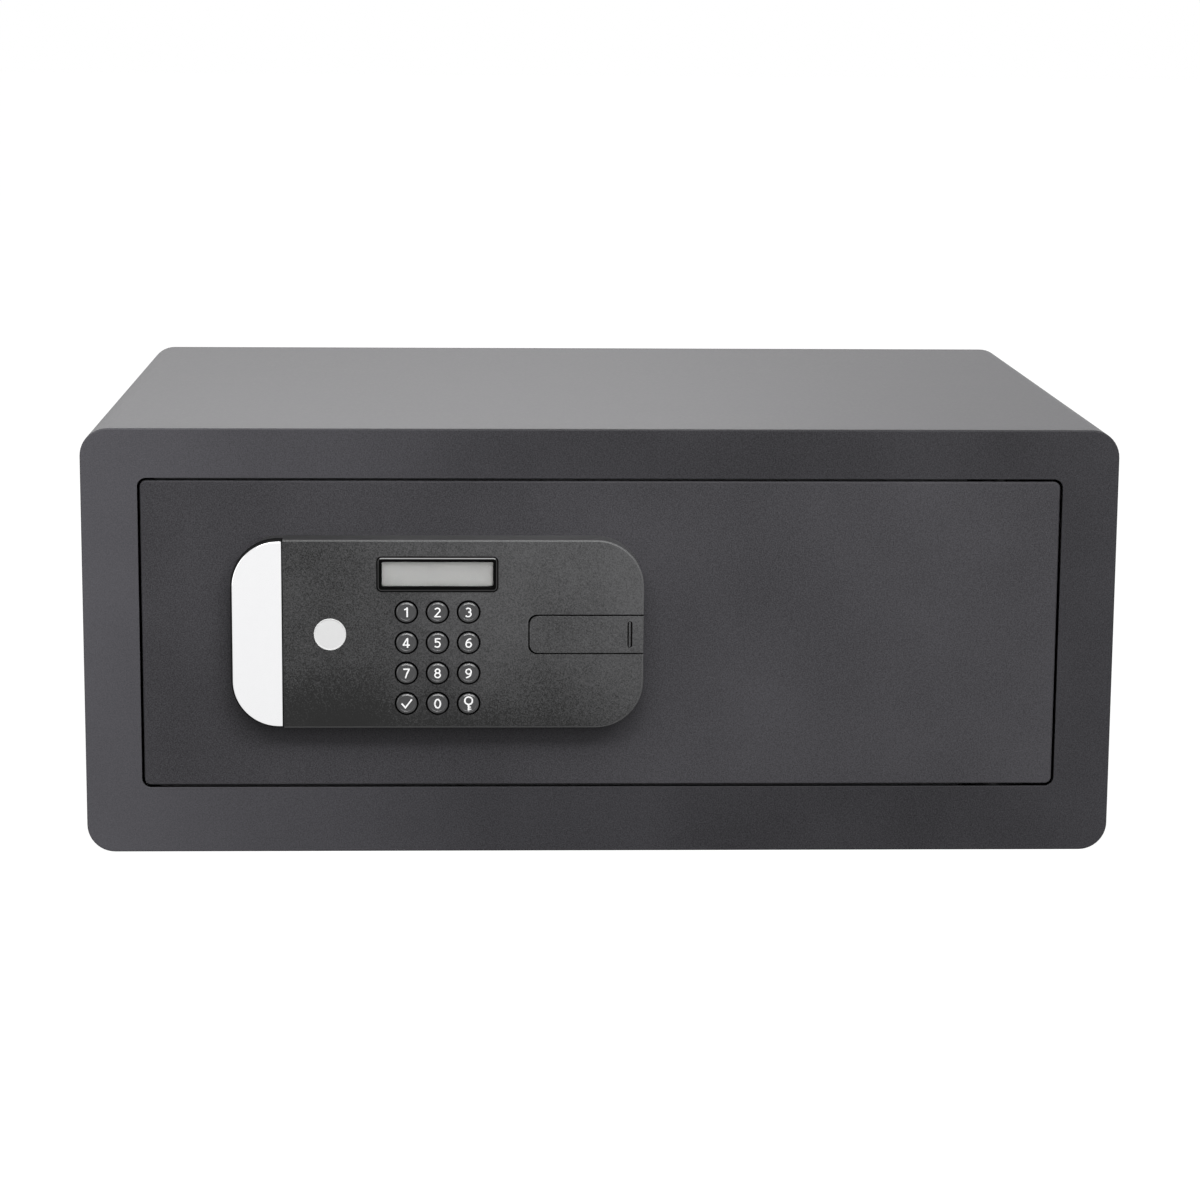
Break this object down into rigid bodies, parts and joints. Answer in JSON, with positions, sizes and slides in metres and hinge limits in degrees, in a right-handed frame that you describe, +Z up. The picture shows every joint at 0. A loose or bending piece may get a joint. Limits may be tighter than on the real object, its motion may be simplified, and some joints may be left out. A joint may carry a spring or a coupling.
{
  "type": "laptop safe",
  "caption": "Flat steel safe for a laptop: flush hinged door, keypad and display panel, motor-driven sliding bolts and a covered emergency key lock, with anchor holes in base and back.",
  "frame": {"origin": "middle of the underside of the steel body, on the surface that the safe stands on", "axes": "+X along the width towards the hinged side of the door, +Y from the door into the safe, +Z up"},
  "size_m": [0.48, 0.365, 0.2],
  "materials": {
    "charcoal_steel": "fine powder coat, slightly violet charcoal",
    "inner_steel": "satin charcoal paint",
    "plated_steel": "zinc plated",
    "dark_steel": "blackened and oiled",
    "bright_steel": "polished and nickel plated",
    "brass_metal": "machined",
    "dark_felt": "short needle felt",
    "panel_plastic": "fine spark-eroded texture",
    "key_plastic": "smooth satin",
    "bright_cap": "bright chromed plastic",
    "satin_inlay": "satin, bare",
    "gloss_rim": "polished",
    "clear_lens": "clear acrylic",
    "display_grey": "liquid crystal, switched off",
    "board_green": "lacquered circuit board",
    "key_rubber": "silicone rubber",
    "lead_red": "wire jacket",
    "black_plastic": "moulded",
    "battery_jacket": "printed-free shrink sleeve",
    "red_plastic": "moulded"
  },
  "bodies": {
    "root": {"body_wrap": "charcoal_steel", "front_frame": "charcoal_steel", "back_panel": "charcoal_steel", "floor_mat": "dark_felt", "striker_bar": "inner_steel", "door_stop_upper": "inner_steel", "door_stop_lower": "inner_steel", "hinge_lug_upper": "inner_steel", "hinge_lug_lower": "inner_steel", "hinge_pins": "dark_steel", "thrust_washer": "dark_steel"},
    "door": {"door_plate": "charcoal_steel", "hinge_block_upper": "inner_steel", "hinge_block_lower": "inner_steel", "bolt_guide": "inner_steel", "guide_posts": "plated_steel", "motor_gearbox": "black_plastic", "bolt_motor": "plated_steel", "lock_cylinder": "bright_steel", "cylinder_nut": "plated_steel", "panel_base": "panel_plastic", "panel_housing": "panel_plastic", "grip_cap": "bright_cap", "round_inlay": "satin_inlay", "display_rim": "gloss_rim", "display_lens": "clear_lens", "display_module": "display_grey", "control_board": "board_green", "key_mat": "key_rubber", "panel_screws": "plated_steel", "cable_grommet": "key_rubber", "wiring_loom": "lead_red", "door_cover": "charcoal_steel", "cover_standoffs": "plated_steel", "cover_screws": "plated_steel", "battery_holder": "black_plastic", "battery_contacts": "bright_steel", "batteries": "battery_jacket", "reset_switch": "black_plastic"},
    "bolt_work": {"bolt_carrier": "plated_steel", "locking_bolts": "bright_steel", "bolt_nuts": "plated_steel"},
    "pinion": {"drive_pinion": "brass_metal"},
    "override": {"override_plug": "brass_metal", "override_gear": "brass_metal"},
    "keyhole_cover": {"key_cover": "panel_plastic"},
    "battery_lid": {"battery_cover": "black_plastic"},
    "reset_push": {"reset_button": "red_plastic"},
    "key_1": {"key_1": "key_plastic"},
    "key_2": {"key_2": "key_plastic"},
    "key_3": {"key_3": "key_plastic"},
    "key_4": {"key_4": "key_plastic"},
    "key_5": {"key_5": "key_plastic"},
    "key_6": {"key_6": "key_plastic"},
    "key_7": {"key_7": "key_plastic"},
    "key_8": {"key_8": "key_plastic"},
    "key_9": {"key_9": "key_plastic"},
    "key_enter": {"key_enter": "key_plastic"},
    "key_0": {"key_0": "key_plastic"},
    "key_lock": {"key_lock": "key_plastic"}
  },
  "joints": [
    {"name": "door_swing", "type": "hinge", "parent": "root", "child": "door", "pos_m": [0.18599, -0.1678, 0.104], "axis": [0, 0, 1], "range_deg": [0, 110]},
    {"name": "bolt_slide", "type": "slide", "parent": "door", "child": "bolt_work", "axis": [-1, 0, 0], "range_m": [0, 0.018]},
    {"name": "pinion_spin", "type": "hinge", "parent": "door", "child": "pinion", "pos_m": [-0.0903, -0.1495, 0.104], "axis": [0, 1, 0], "range_deg": [0, 95]},
    {"name": "override_turn", "type": "hinge", "parent": "door", "child": "override", "pos_m": [-0.014, -0.1495, 0.1065], "axis": [0, 1, 0], "range_deg": [0, 95]},
    {"name": "key_cover_slide", "type": "slide", "parent": "door", "child": "keyhole_cover", "axis": [1, 0, 0], "range_m": [0, 0.055]},
    {"name": "battery_cover_slide", "type": "slide", "parent": "door", "child": "battery_lid", "axis": [0, 1, 0], "range_m": [0, 0.03]},
    {"name": "reset_press", "type": "slide", "parent": "door", "child": "reset_push", "axis": [0, -1, 0], "range_m": [0, 0.0015], "stiffness_N_per_m": 800},
    {"name": "key_1_press", "type": "slide", "parent": "door", "child": "key_1", "axis": [0, 1, 0], "range_m": [0, 0.0008], "stiffness_N_per_m": 1250},
    {"name": "key_2_press", "type": "slide", "parent": "door", "child": "key_2", "axis": [0, 1, 0], "range_m": [0, 0.0008], "stiffness_N_per_m": 1250},
    {"name": "key_3_press", "type": "slide", "parent": "door", "child": "key_3", "axis": [0, 1, 0], "range_m": [0, 0.0008], "stiffness_N_per_m": 1250},
    {"name": "key_4_press", "type": "slide", "parent": "door", "child": "key_4", "axis": [0, 1, 0], "range_m": [0, 0.0008], "stiffness_N_per_m": 1250},
    {"name": "key_5_press", "type": "slide", "parent": "door", "child": "key_5", "axis": [0, 1, 0], "range_m": [0, 0.0008], "stiffness_N_per_m": 1250},
    {"name": "key_6_press", "type": "slide", "parent": "door", "child": "key_6", "axis": [0, 1, 0], "range_m": [0, 0.0008], "stiffness_N_per_m": 1250},
    {"name": "key_7_press", "type": "slide", "parent": "door", "child": "key_7", "axis": [0, 1, 0], "range_m": [0, 0.0008], "stiffness_N_per_m": 1250},
    {"name": "key_8_press", "type": "slide", "parent": "door", "child": "key_8", "axis": [0, 1, 0], "range_m": [0, 0.0008], "stiffness_N_per_m": 1250},
    {"name": "key_9_press", "type": "slide", "parent": "door", "child": "key_9", "axis": [0, 1, 0], "range_m": [0, 0.0008], "stiffness_N_per_m": 1250},
    {"name": "key_enter_press", "type": "slide", "parent": "door", "child": "key_enter", "axis": [0, 1, 0], "range_m": [0, 0.0008], "stiffness_N_per_m": 1250},
    {"name": "key_0_press", "type": "slide", "parent": "door", "child": "key_0", "axis": [0, 1, 0], "range_m": [0, 0.0008], "stiffness_N_per_m": 1250},
    {"name": "key_lock_press", "type": "slide", "parent": "door", "child": "key_lock", "axis": [0, 1, 0], "range_m": [0, 0.0008], "stiffness_N_per_m": 1250}
  ],
  "couplings": [
    {"joint": "pinion_spin", "follows": "bolt_slide", "rad_per_m": 88.889},
    {"joint": "override_turn", "follows": "bolt_slide", "rad_per_m": 88.889}
  ]
}
